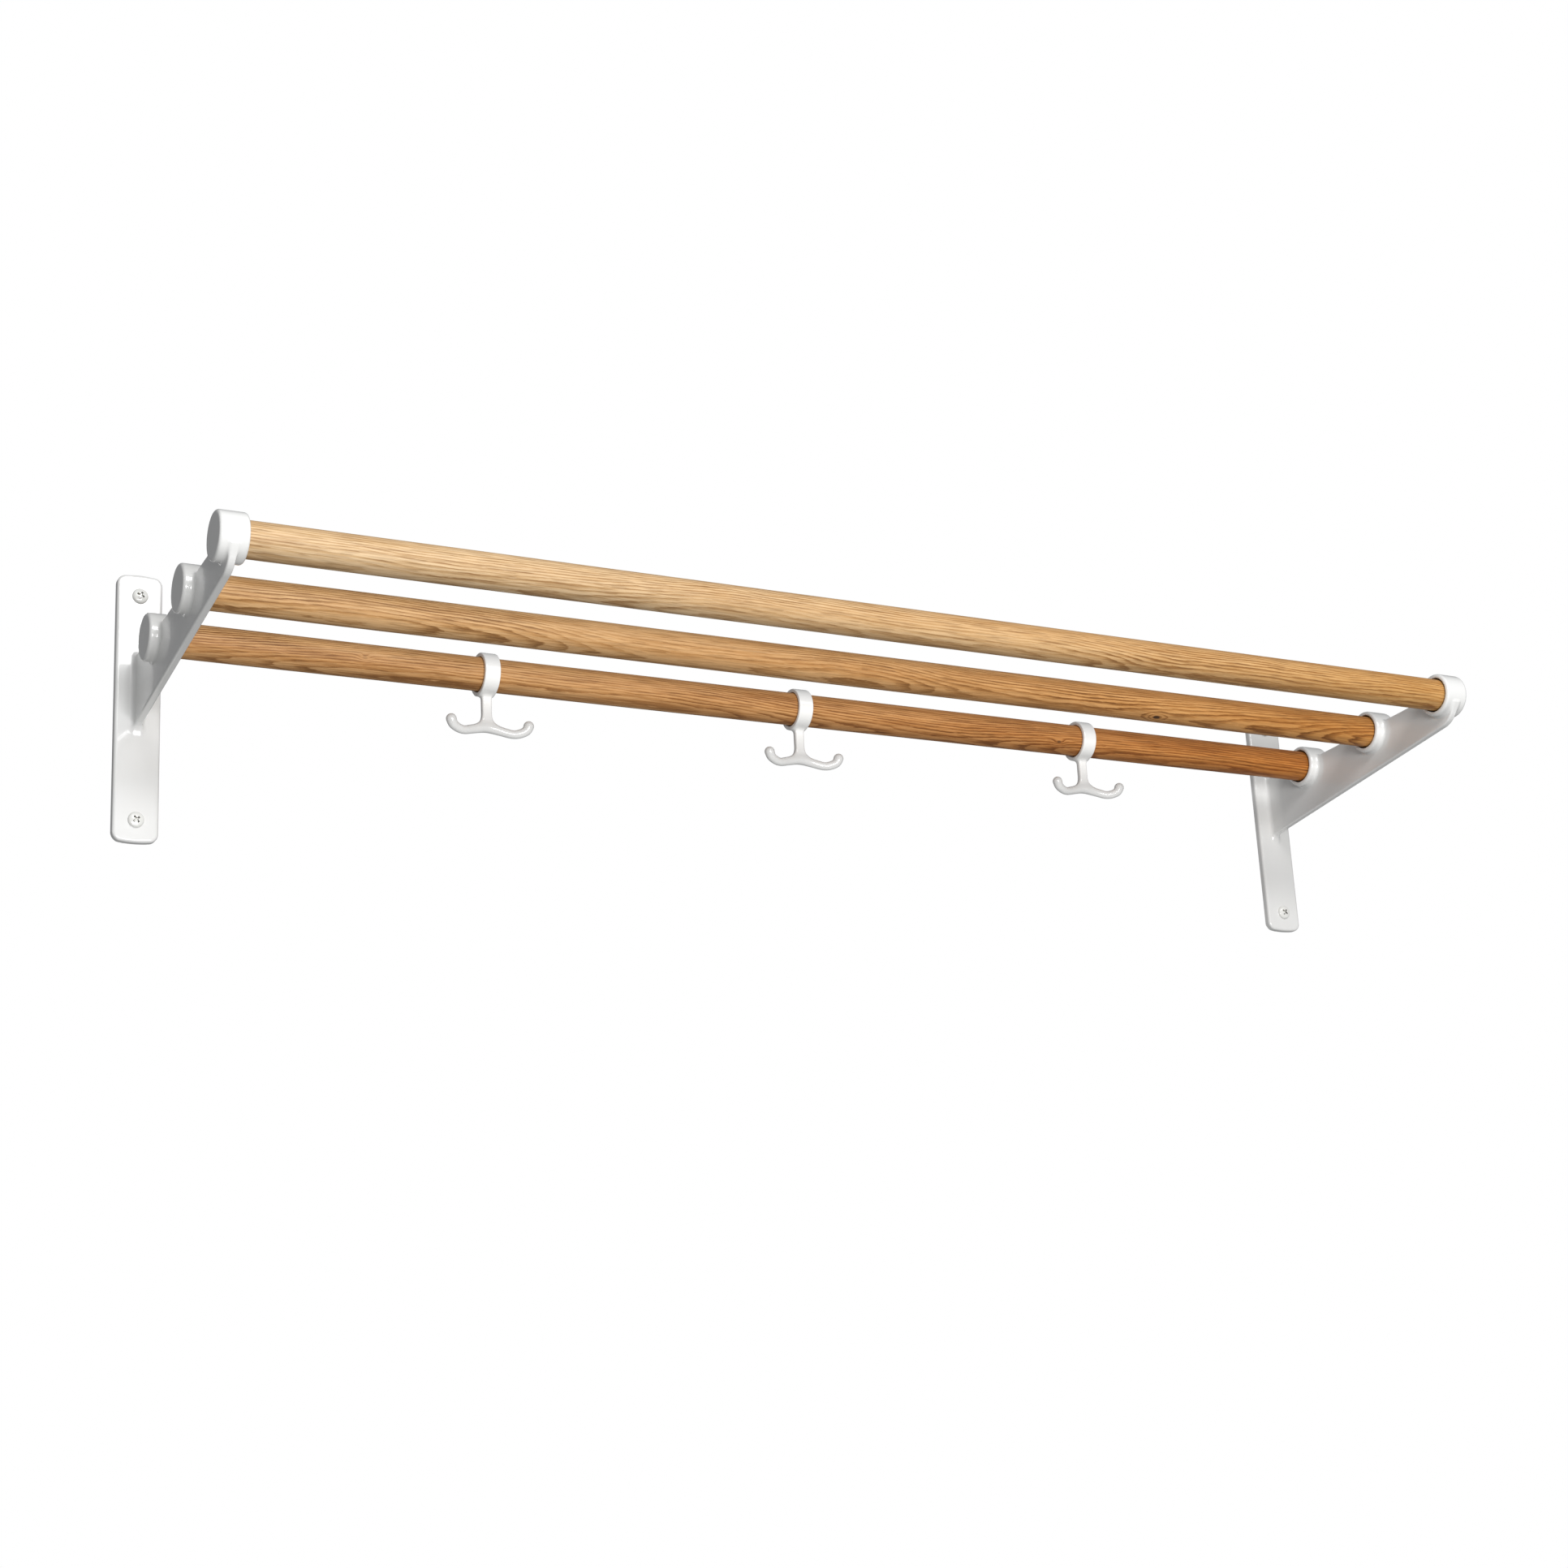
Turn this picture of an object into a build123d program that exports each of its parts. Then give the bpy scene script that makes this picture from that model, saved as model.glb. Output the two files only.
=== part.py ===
"""Wall-mounted hat and coat rack, in millimetres.

Two cast brackets are screwed to the wall and carry three oak rods in blind cups.
Three coat hooks hang by their rings on the rear rod and slide along it.

Frame: the wall is the plane Y = 0 and the rack reaches out along -Y. X runs along the rods,
Z is up, and the origin is the middle of the four wall screws.
"""

import os
from math import cos, radians, sin

from build123d import *

# rods
ROD_RADIUS = 12.5
ROD_LENGTH = 980.0
ROD_CHAMFER = 0.8
ROD_PITCH = 86.8  # from one rod to the next, measured away from the wall
ROD_RISE = 3.7  # each rod sits this much higher than the one behind it
REAR_ROD_Y = -59.5
REAR_ROD_Z = 32.1

# brackets
BRACKET_X = 490.0  # middle of each wall strap
STRAP_WIDTH = 32.0
STRAP_HEIGHT = 196.0
STRAP_THICKNESS = 6.0
STRAP_CROWN = 1.6  # how far the strap's two ends bow outwards
STRAP_CORNER = 5.5
STRAP_EDGE = 2.0
WEB_THICKNESS = 5.4
WEB_EDGE = 1.0
WEB_ROOT_FILLET = 2.0
WEB_ROOT_Z = -13.4  # where the web's lower edge starts to bend down into the strap
WEB_ROOT_DROP = 11.0
WEB_CLIMB = 0.128  # rise of the lower edge for each millimetre towards the front
WEB_ROOT_CURVE = 9.0
WEB_NOSE_CURVE = 20.0
WEB_NOSE_ANGLE = 32.0  # the web runs into the front cup this many degrees below its front
WEB_NOSE_PROUD = 0.4
WEB_LIFT = 4.5  # the top edge runs this far above the rods' middles
CUP_OUTER_RADIUS = 16.8
CUP_LENGTH = 20.0
CUP_DEPTH = 10.5
CUP_BORE_RADIUS = ROD_RADIUS + 0.05
CUP_MOUTH_RADIUS = ROD_RADIUS + 0.5
CUP_MOUTH_DEPTH = 4.0
CUP_EDGE = 2.0

# wall screws
SCREW_PITCH = 164.0
SCREW_SHANK_RADIUS = 2.25
SCREW_NECK_RADIUS = 2.0  # the plain part that passes through the strap
SCREW_LENGTH = 25.0
SCREW_TIP = 5.0
SCREW_HEAD_RADIUS = 5.6
SCREW_HEAD_HEIGHT = 2.8
SCREW_HEAD_EDGE = 1.3
SCREW_RECESS_SPAN = 6.0
SCREW_RECESS_WIDTH = 1.4
SCREW_RECESS_DEPTH = 1.6
SCREW_HOLE_RADIUS = 2.7

# coat hooks
HOOK_X = {"hook_left": -252.6, "hook_centre": 1.1, "hook_right": 258.7}
RING_INNER_RADIUS = 13.0
RING_OUTER_RADIUS = 16.0
RING_WIDTH = 11.8
RING_EDGE = 0.9
RING_GAP = 0.3  # between the top of the rod and the ring that hangs on it
STEM_WIDTH = 7.3
STEM_THICKNESS = 5.2
STEM_EDGE = 1.6
PRONG_MIDDLE_DROP = 40.1  # from the rod's axis down to the middle of the prongs' root
CROTCH_SPAN = 15.0
CROTCH_RISE = 9.0

# middle line of the right-hand prong: out from the stem, forward from it, and up from its root
PRONG_ROOT = (0.0, 0.0, 0.0)
PRONG_SHOULDER = (9.8, 1.2, -2.2)
PRONG_VALLEY = (19.6, 3.8, -4.5)
PRONG_RISER = (27.0, 6.2, -2.4)
PRONG_TIP = (29.5, 7.3, 1.6)
PRONG_RADII = (3.4, 3.2, 3.1, 3.3, 3.5, 3.8)

REAR_ROD = (REAR_ROD_Y, REAR_ROD_Z)
MIDDLE_ROD = (REAR_ROD_Y - ROD_PITCH, REAR_ROD_Z + ROD_RISE)
FRONT_ROD = (REAR_ROD_Y - 2 * ROD_PITCH, REAR_ROD_Z + 2 * ROD_RISE)
RODS = {"rear_rod": REAR_ROD, "middle_rod": MIDDLE_ROD, "front_rod": FRONT_ROD}
RING_CENTRE_Z = REAR_ROD_Z - (RING_INNER_RADIUS - ROD_RADIUS - RING_GAP)


def save(part, name):
    part.label = name
    export_step(part, f"parts/{name}.step")


def across(x, y, z):
    """A plane square to the rods, with its origin on the point given."""
    return Plane(origin=(x, y, z), x_dir=(0, 1, 0), z_dir=(1, 0, 0))


def facing_front(x, y, z):
    """A plane parallel to the wall that faces away from it, with its origin on the point given."""
    return Plane(origin=(x, y, z), x_dir=(1, 0, 0), z_dir=(0, -1, 0))


def make_rod(y, z):
    with BuildPart() as rod:
        with BuildSketch(across(-ROD_LENGTH / 2, y, z)):
            Circle(ROD_RADIUS)
        extrude(amount=ROD_LENGTH)
        chamfer(rod.edges().filter_by(GeomType.CIRCLE), ROD_CHAMFER)
    return rod.part


def make_strap(side):
    """The upright wall strap: gently crowned ends, soft front edges and two screw holes."""
    half_width = STRAP_WIDTH / 2
    shoulder = STRAP_HEIGHT / 2 - STRAP_CROWN
    with BuildPart() as strap:
        with BuildSketch(facing_front(side * BRACKET_X, 0, 0)) as outline:
            with BuildLine():
                right = Line((half_width, -shoulder), (half_width, shoulder))
                ThreePointArc(right @ 1, (0, STRAP_HEIGHT / 2), (-half_width, shoulder))
                Line((-half_width, shoulder), (-half_width, -shoulder))
                ThreePointArc((-half_width, -shoulder), (0, -STRAP_HEIGHT / 2), right @ 0)
            make_face()
            fillet(outline.vertices(), STRAP_CORNER)
        extrude(amount=STRAP_THICKNESS)
        fillet(strap.faces().sort_by(Axis.Y)[0].edges(), STRAP_EDGE)
    return strap.part


def make_web(middle):
    """The upright plate that carries the cups, drawn with its outline's Y and Z."""
    root = (-STRAP_THICKNESS - 3, WEB_ROOT_Z)
    forward = cos(radians(WEB_NOSE_ANGLE))
    down = sin(radians(WEB_NOSE_ANGLE))
    reach = CUP_OUTER_RADIUS + WEB_NOSE_PROUD
    front = (FRONT_ROD[0] - reach * forward, FRONT_ROD[1] - reach * down)
    above_edge = front[1] - root[1] + WEB_CLIMB * (front[0] - root[0])
    run = above_edge / (forward - WEB_CLIMB * down)
    nose = (front[0] + run * down, front[1] - run * forward)
    with BuildPart() as web:
        with BuildSketch(across(middle, 0, 0)) as outline:
            with BuildLine():
                Polyline(
                    (-1.0, root[1] - WEB_ROOT_DROP),
                    root,
                    nose,
                    front,
                    (FRONT_ROD[0], FRONT_ROD[1] + WEB_LIFT),
                    (REAR_ROD[0], REAR_ROD[1] + WEB_LIFT),
                    (-1.0, REAR_ROD[1] + WEB_LIFT + 1),
                    close=True,
                )
            make_face()
            fillet(outline.vertices().sort_by_distance((*root, 0))[0], WEB_ROOT_CURVE)
            fillet(outline.vertices().sort_by_distance((*nose, 0))[0], WEB_NOSE_CURVE)
        extrude(amount=WEB_THICKNESS / 2, both=True)
        cheeks = web.faces().filter_by(Axis.X)
        fillet([e for cheek in cheeks for e in cheek.edges()], WEB_EDGE)
    return web.part


def make_bracket(side):
    """One casting; side is -1 for the left-hand bracket and 1 for the right-hand one."""
    middle = side * BRACKET_X
    mouth = middle - side * CUP_LENGTH / 2
    with BuildPart() as bracket:
        add(make_strap(side))
        add(make_web(middle))
        fillet(root_edges(bracket, middle), WEB_ROOT_FILLET)
        for y, z in RODS.values():
            with BuildSketch(across(middle, y, z)):
                Circle(CUP_OUTER_RADIUS)
            extrude(amount=CUP_LENGTH / 2, both=True)
        fillet(cup_rims(bracket), CUP_EDGE)
        for y, z in RODS.values():
            with BuildSketch(across(mouth, y, z)):
                Circle(CUP_BORE_RADIUS)
            extrude(amount=side * CUP_DEPTH, mode=Mode.SUBTRACT)
            with BuildSketch(across(mouth, y, z)):
                Circle(CUP_MOUTH_RADIUS)
            extrude(amount=side * CUP_MOUTH_DEPTH, mode=Mode.SUBTRACT)
        for height in (-SCREW_PITCH / 2, SCREW_PITCH / 2):
            with BuildSketch(facing_front(middle, 0, height)):
                Circle(SCREW_HOLE_RADIUS)
            extrude(amount=STRAP_THICKNESS, mode=Mode.SUBTRACT)
    return bracket.part


def root_edges(bracket, middle):
    """The seam where the web grows out of the strap's front face."""
    on_face = [e for e in bracket.edges() if abs(e.center().Y + STRAP_THICKNESS) < 0.05]
    near = [e for e in on_face if abs(e.center().X - middle) < WEB_THICKNESS / 2 + 0.1]
    return [e for e in near if abs(e.center().Z) < STRAP_HEIGHT / 4]


def cup_rims(bracket):
    """The six full circles at the two ends of the cups."""
    circles = bracket.edges().filter_by(GeomType.CIRCLE)
    full_turn = 6.28 * CUP_OUTER_RADIUS
    return [e for e in circles if e.length > full_turn - 1]


def make_screw(x, z):
    """Pan-head wall screw with a cross recess; its shank stands out behind the wall plane."""
    with BuildPart() as screw:
        with BuildSketch(facing_front(x, -STRAP_THICKNESS, z)):
            Circle(SCREW_HEAD_RADIUS)
        extrude(amount=SCREW_HEAD_HEIGHT)
        fillet(screw.edges().sort_by(Axis.Y)[0], SCREW_HEAD_EDGE)
        with BuildSketch(facing_front(x, -STRAP_THICKNESS, z)):
            Circle(SCREW_NECK_RADIUS)
        extrude(amount=-STRAP_THICKNESS)
        with BuildSketch(facing_front(x, 0, z)):
            Circle(SCREW_SHANK_RADIUS)
        extrude(amount=-(SCREW_LENGTH - SCREW_TIP - STRAP_THICKNESS))
        with BuildSketch(facing_front(x, SCREW_LENGTH - SCREW_TIP - STRAP_THICKNESS, z)):
            Circle(SCREW_SHANK_RADIUS)
        extrude(amount=-SCREW_TIP, taper=22)
        with BuildSketch(facing_front(x, -STRAP_THICKNESS - SCREW_HEAD_HEIGHT, z)):
            Rectangle(SCREW_RECESS_SPAN, SCREW_RECESS_WIDTH)
            Rectangle(SCREW_RECESS_WIDTH, SCREW_RECESS_SPAN)
        extrude(amount=-SCREW_RECESS_DEPTH, taper=12, mode=Mode.SUBTRACT)
    return screw.part


def make_stem(x):
    """The flat stem of a hook, flaring into the crotch where the two prongs start."""
    root_z = REAR_ROD_Z - PRONG_MIDDLE_DROP
    half = STEM_WIDTH / 2
    flare_from = CROTCH_RISE + 1
    top = RING_CENTRE_Z - RING_INNER_RADIUS - 1 - root_z
    with BuildPart() as stem:
        with BuildSketch(facing_front(x, REAR_ROD_Y, root_z)):
            with BuildLine():
                right_side = Line((half, top), (half, flare_from))
                right_flare = TangentArc(right_side @ 1, (CROTCH_SPAN, -2), tangent=(0, -1))
                bottom = Line(right_flare @ 1, (-CROTCH_SPAN, -2))
                left_side = Line((-half, top), (-half, flare_from))
                TangentArc(left_side @ 1, bottom @ 1, tangent=(0, -1))
                Line(left_side @ 0, right_side @ 0)
            make_face()
        extrude(amount=STEM_THICKNESS / 2, both=True)
        fillet(stem.edges().filter_by(Axis.Y, reverse=True).group_by(Axis.Y)[0], STEM_EDGE)
        fillet(stem.edges().filter_by(Axis.Y, reverse=True).group_by(Axis.Y)[-1], STEM_EDGE)
    return stem.part


def make_prong(x):
    """The right-hand prong: a round bar that dips, comes forward and turns up to a ball tip."""
    root_z = REAR_ROD_Z - PRONG_MIDDLE_DROP
    stations = (PRONG_ROOT, PRONG_SHOULDER, PRONG_VALLEY, PRONG_RISER, PRONG_TIP)
    points = [(x + out, REAR_ROD_Y - ahead, root_z + up) for out, ahead, up in stations]
    with BuildPart() as prong:
        with BuildLine() as middle:
            Spline(*points, tangents=((1, 0, 0), (0.2, -0.15, 1)))
        last = len(PRONG_RADII) - 1
        for step, radius in enumerate(PRONG_RADII):
            at = step / last
            with BuildSketch(Plane(origin=middle.line @ at, z_dir=middle.line % at)):
                Circle(radius)
        loft()
        with Locations(points[-1]):
            Sphere(PRONG_RADII[-1])
    return prong.part


def make_hook(x):
    with BuildPart() as hook:
        with BuildSketch(across(x, REAR_ROD_Y, RING_CENTRE_Z)):
            Circle(RING_OUTER_RADIUS)
        extrude(amount=RING_WIDTH / 2, both=True)
        fillet(hook.edges(), RING_EDGE)
        add(make_stem(x))
        add(make_prong(x))
        mirror(make_prong(x), about=Plane.YZ.offset(x))
        with BuildSketch(across(x, REAR_ROD_Y, RING_CENTRE_Z)):
            Circle(RING_INNER_RADIUS)
        extrude(amount=RING_WIDTH / 2, both=True, mode=Mode.SUBTRACT)
    return hook.part


if __name__ == "__main__":
    os.makedirs("parts", exist_ok=True)
    for name, place in RODS.items():
        save(make_rod(*place), name)
    for name, side in (("bracket_left", -1), ("bracket_right", 1)):
        save(make_bracket(side), name)
    for name, x in HOOK_X.items():
        save(make_hook(x), name)
    for side_name, x in (("left", -BRACKET_X), ("right", BRACKET_X)):
        save(make_screw(x, SCREW_PITCH / 2), f"wall_screw_{side_name}_upper")
        save(make_screw(x, -SCREW_PITCH / 2), f"wall_screw_{side_name}_lower")
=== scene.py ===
"""Looks of a wall-mounted hat and coat rack: white castings, lacquered oak rods, white screws.

Castings and screws are distance fields turned into meshes; rods are turned on a lathe profile.
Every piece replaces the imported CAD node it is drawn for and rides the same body.
Sizes, fields, meshes and texture coordinates are in millimetres; object, light and camera places
are in metres.
"""

import math

import bpy
import numpy as np
import openvdb
from mathutils import Euler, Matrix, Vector


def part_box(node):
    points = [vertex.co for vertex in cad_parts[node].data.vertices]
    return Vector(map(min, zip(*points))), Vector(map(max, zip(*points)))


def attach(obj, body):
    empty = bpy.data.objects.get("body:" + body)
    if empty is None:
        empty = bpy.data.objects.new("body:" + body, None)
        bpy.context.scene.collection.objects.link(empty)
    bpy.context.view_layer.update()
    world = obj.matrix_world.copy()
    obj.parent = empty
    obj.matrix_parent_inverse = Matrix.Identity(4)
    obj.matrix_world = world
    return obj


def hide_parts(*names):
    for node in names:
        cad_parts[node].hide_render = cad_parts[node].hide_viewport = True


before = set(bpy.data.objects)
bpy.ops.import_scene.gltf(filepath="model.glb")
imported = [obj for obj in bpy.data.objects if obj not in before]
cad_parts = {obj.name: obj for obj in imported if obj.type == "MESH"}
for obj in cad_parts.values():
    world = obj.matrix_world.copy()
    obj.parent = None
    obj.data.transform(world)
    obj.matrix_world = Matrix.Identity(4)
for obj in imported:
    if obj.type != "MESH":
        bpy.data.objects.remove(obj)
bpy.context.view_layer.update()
MM = 1000.0

# ---------------------------------------------------------------- places read from the frame


def box_mm(node):
    low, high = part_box(node)
    return np.array(low) * MM, np.array(high) * MM


def rod_axis(node):
    """(y, z, radius) of a rod in millimetres."""
    low, high = box_mm(node)
    return (low[1] + high[1]) / 2, (low[2] + high[2]) / 2, (high[2] - low[2]) / 2


RODS = {name: rod_axis(name) for name in ("front_rod", "middle_rod", "rear_rod")}
FRONT, REAR = RODS["front_rod"], RODS["rear_rod"]
ROD_END = box_mm("rear_rod")[1][0]
STRAP_LOW, STRAP_HIGH = box_mm("bracket_right")
BRACKET_X = (STRAP_LOW[0] + STRAP_HIGH[0]) / 2
SCREW_LOW, SCREW_HIGH = box_mm("wall_screw_right_upper")
SCREW_Z = float(np.mean([SCREW_LOW[2], SCREW_HIGH[2]]))
SCREW_TIP_Y = SCREW_HIGH[1]

# ---------------------------------------------------------------- sizes of the castings, mm
STRAP_THICKNESS = 6.0
STRAP_CROWN = 1.6
STRAP_CORNER = 5.5
STRAP_EDGE = 2.0
STRAP_BACK_EDGE = 0.3
WEB_THICKNESS = 5.4
WEB_EDGE = 1.2
WEB_ROOT_Z = -13.4
WEB_ROOT_DROP = 11.0
WEB_CLIMB = 0.128
WEB_ROOT_CURVE = 9.0
WEB_NOSE_CURVE = 20.0
WEB_NOSE_ANGLE = 32.0
WEB_NOSE_HALF_BEND = 24.4
WEB_NOSE_PROUD = 0.3
WEB_LIFT = 4.5
CUP_RADIUS = 16.8
CUP_LENGTH = 20.0
CUP_DEPTH = 10.5
CUP_EDGE = 2.2
CUP_BORE = 12.55
CUP_MOUTH = 13.35
CUP_MOUTH_DEPTH = 4.0
CUP_LIP = 0.5
ROOT_FILLET = 3.3
CUP_FILLET = 2.4
SCREW_HOLE = 2.7

RING_INNER = 13.0
RING_OUTER = 16.0
RING_WIDTH = 11.8
RING_EDGE = 0.9
RING_GAP = 0.3
RING_BORE_EDGE = 0.5
STEM_WIDTH = 7.3
STEM_THICKNESS = 5.2
STEM_EDGE = 1.6
PRONG_DROP = 40.1
CROTCH_SPAN = 15.0
CROTCH_RISE = 9.0
PRONG_LINE = ((0.0, 0.0, 0.0), (9.8, 1.2, -2.2), (19.6, 3.8, -4.5), (27.0, 6.2, -2.4), (29.5, 7.3, 1.6))
PRONG_RADII = (3.4, 3.2, 3.1, 3.4, 3.8)
HOOK_BLEND = 3.5

SCREW_HEAD_RADIUS = 5.6
SCREW_HEAD_HEIGHT = 2.8
SCREW_HEAD_EDGE = 1.2
SCREW_RECESS_SPAN = 6.0
SCREW_RECESS_WIDTH = 1.4
SCREW_RECESS_DEPTH = 1.7
SCREW_CORE = 1.55
SCREW_CREST = 2.22
SCREW_PITCH = 1.9
SCREW_TIP = 5.0
SCREW_NECK = 1.98
SCREW_TURNS = {
    "wall_screw_left_upper": math.radians(24),
    "wall_screw_left_lower": math.radians(52),
    "wall_screw_right_upper": math.radians(8),
    "wall_screw_right_lower": math.radians(35),
}

# ---------------------------------------------------------------- mesh fineness, mm
BRACKET_VOXEL = 0.9
HOOK_VOXEL = 0.55
SCREW_VOXEL = 0.24

# ---------------------------------------------------------------- distance fields


def soft_union(a, b, blend):
    """Union of two fields whose seam is filled with a curve about blend wide."""
    h = np.maximum(blend - np.abs(a - b), 0) / blend
    return np.minimum(a, b) - h * h * blend / 4


def fillet_union(a, b, radius):
    """Union of two fields that meet square, with a true quarter-round fillet in the seam."""
    corner = np.hypot(np.maximum(radius - a, 0), np.maximum(radius - b, 0))
    return np.maximum(radius, np.minimum(a, b)) - corner


def round_cut(a, b, radius):
    """Intersection of two fields whose shared edge is rounded."""
    a2, b2 = a + radius, b + radius
    return np.minimum(np.maximum(a2, b2), 0) + np.hypot(np.maximum(a2, 0), np.maximum(b2, 0)) - radius


def polygon_field(u, v, corners):
    """Signed distance from points to a closed polygon in their plane."""
    best = np.full(np.broadcast(u, v).shape, 1e9)
    inside = np.zeros(best.shape, bool)
    for (u0, v0), (u1, v1) in zip(corners, corners[1:] + corners[:1]):
        du, dv = u1 - u0, v1 - v0
        along = np.clip(((u - u0) * du + (v - v0) * dv) / (du * du + dv * dv), 0, 1)
        best = np.minimum(best, np.hypot(u - u0 - along * du, v - v0 - along * dv))
        if v0 != v1:
            crosses = (v0 > v) != (v1 > v)
            inside ^= crosses & (u < u0 + (v - v0) * du / dv)
    return np.where(inside, -best, best)


def arc_corner(before, corner, after, radius, steps=10):
    """Points that round one corner of a polygon with an arc."""
    corner = np.array(corner, float)
    back = np.array(before, float) - corner
    ahead = np.array(after, float) - corner
    back /= np.linalg.norm(back)
    ahead /= np.linalg.norm(ahead)
    half = math.acos(float(np.clip(back @ ahead, -1, 1))) / 2
    middle = (back + ahead) / np.linalg.norm(back + ahead)
    centre = corner + middle * radius / math.sin(half)
    start = corner + back * radius / math.tan(half) - centre
    end = corner + ahead * radius / math.tan(half) - centre
    turn = math.atan2(start[0] * end[1] - start[1] * end[0], float(start @ end))
    points = []
    for step in range(steps + 1):
        angle = turn * step / steps
        c, s = math.cos(angle), math.sin(angle)
        points.append((centre[0] + c * start[0] - s * start[1], centre[1] + s * start[0] + c * start[1]))
    return points


def mesh_from_field(field, low, high, voxel):
    """Mesh of a field's zero surface, with its points pulled exactly onto the surface."""
    low = np.array(low, float) - 2.5 * voxel
    counts = np.ceil((np.array(high, float) + 2.5 * voxel - low) / voxel).astype(int) + 1
    x, y, z = (low[i] + voxel * np.arange(counts[i]) for i in range(3))
    values = field(x[:, None, None], y[None, :, None], z[None, None, :])
    grid = openvdb.FloatGrid(3 * voxel)
    grid.copyFromArray(np.ascontiguousarray(np.clip(values, -3 * voxel, 3 * voxel), np.float32))
    points, triangles, quads = grid.convertToPolygons(0.0, 0.0)
    points = points.astype(float) * voxel + low
    step = 0.02
    flattest = 0.3
    for _ in range(3):
        normals = gradient(field, points, step)
        slope = np.maximum((normals**2).sum(1), flattest)
        points -= field(*points.T)[:, None] * normals / slope[:, None]
    normals = gradient(field, points, step)
    normals /= np.maximum(np.linalg.norm(normals, axis=1), 1e-9)[:, None]
    faces = [tuple(int(i) for i in f) for f in quads] + [tuple(int(i) for i in f) for f in triangles]
    if outward_sign(points, faces, normals) < 0:
        faces = [f[::-1] for f in faces]
    return points, faces, normals


def gradient(field, points, step):
    """Slope of a field at each point, from central differences."""
    columns = []
    for axis in range(3):
        shift = np.zeros(3)
        shift[axis] = step
        columns.append((field(*(points + shift).T) - field(*(points - shift).T)) / (2 * step))
    return np.stack(columns, 1)


def outward_sign(points, faces, normals):
    """Above zero when the faces wind the way the outward normals point."""
    score = 0.0
    for f in faces[:: max(1, len(faces) // 500)]:
        a, b, c = (points[i] for i in f[:3])
        score += float(np.cross(b - a, c - a) @ normals[f[0]])
    return score


def add_mesh(name, points, faces, normals=None):
    """Blender mesh from points in millimetres."""
    mesh = bpy.data.meshes.new(name)
    mesh.from_pydata((np.asarray(points) / MM).tolist(), [], faces)
    mesh.validate()
    mesh.update()
    mesh.shade_smooth()
    if normals is not None:
        mesh.normals_split_custom_set_from_vertices(normals.tolist())
    return mesh


def add_piece(name, mesh, body, slot, materials, *nodes, at=(0, 0, 0)):
    piece = bpy.data.objects.new(name, mesh)
    bpy.context.scene.collection.objects.link(piece)
    piece.location = at
    if not mesh.materials:
        for material in materials:
            mesh.materials.append(material)
    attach(piece, body)
    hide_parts(*nodes)
    return piece


# ---------------------------------------------------------------- brackets


def web_outline():
    """Corners (y, z) of the web: tail in the strap, lower edge, nose under the front cup, top."""
    root = (-STRAP_THICKNESS - 3, WEB_ROOT_Z)
    forward = math.cos(math.radians(WEB_NOSE_ANGLE))
    down = math.sin(math.radians(WEB_NOSE_ANGLE))
    reach = CUP_RADIUS + WEB_NOSE_PROUD
    front = (FRONT[0] - reach * forward, FRONT[1] - reach * down)
    above_edge = front[1] - root[1] + WEB_CLIMB * (front[0] - root[0])
    run = above_edge / (forward - WEB_CLIMB * down)
    nose = (front[0] + run * down, front[1] - run * forward)
    tail = (-1.0, root[1] - WEB_ROOT_DROP)
    outline = [tail]
    outline += arc_corner(tail, root, nose, WEB_ROOT_CURVE)
    room = 0.97 * run / math.tan(math.radians(WEB_NOSE_HALF_BEND))
    outline += arc_corner(root, nose, front, min(WEB_NOSE_CURVE, room))
    outline += [front, (FRONT[0], FRONT[1] + WEB_LIFT), (REAR[0], REAR[1] + WEB_LIFT)]
    outline += [(-1.0, REAR[1] + WEB_LIFT + 1)]
    return outline


WEB_OUTLINE = web_outline()


def bracket_field(x, y, z):
    """The right-hand bracket. Its cups open towards the middle of the rack."""
    across = x - BRACKET_X
    half_width = (STRAP_HIGH[0] - STRAP_LOW[0]) / 2
    top = STRAP_HIGH[2] - STRAP_CROWN * (across / half_width) ** 2
    outline = round_cut(np.abs(across) - half_width, np.abs(z) - top, STRAP_CORNER)
    strap = round_cut(outline, -y - STRAP_THICKNESS, STRAP_EDGE)
    strap = round_cut(strap, y + 0 * x, STRAP_BACK_EDGE)
    web = round_cut(polygon_field(y, z, WEB_OUTLINE), np.abs(across) - WEB_THICKNESS / 2, WEB_EDGE)
    casting = fillet_union(strap, web, ROOT_FILLET)
    hollow = None
    for rod_y, rod_z, _ in RODS.values():
        away = np.hypot(y - rod_y, z - rod_z)
        cup = round_cut(away - CUP_RADIUS, np.abs(across) - CUP_LENGTH / 2, CUP_EDGE)
        casting = fillet_union(casting, cup, CUP_FILLET)
        inwards = across + CUP_LENGTH / 2
        bore = np.maximum(away - CUP_BORE, inwards - CUP_DEPTH)
        mouth = np.maximum(away - CUP_MOUTH, inwards - CUP_MOUTH_DEPTH)
        space = np.minimum(bore, mouth)
        hollow = space if hollow is None else np.minimum(hollow, space)
    casting = round_cut(casting, -hollow, CUP_LIP)
    hole = np.hypot(across, np.abs(z) - SCREW_Z) - SCREW_HOLE
    return np.maximum(casting, -np.maximum(hole, -y - STRAP_THICKNESS - 1.0))


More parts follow.
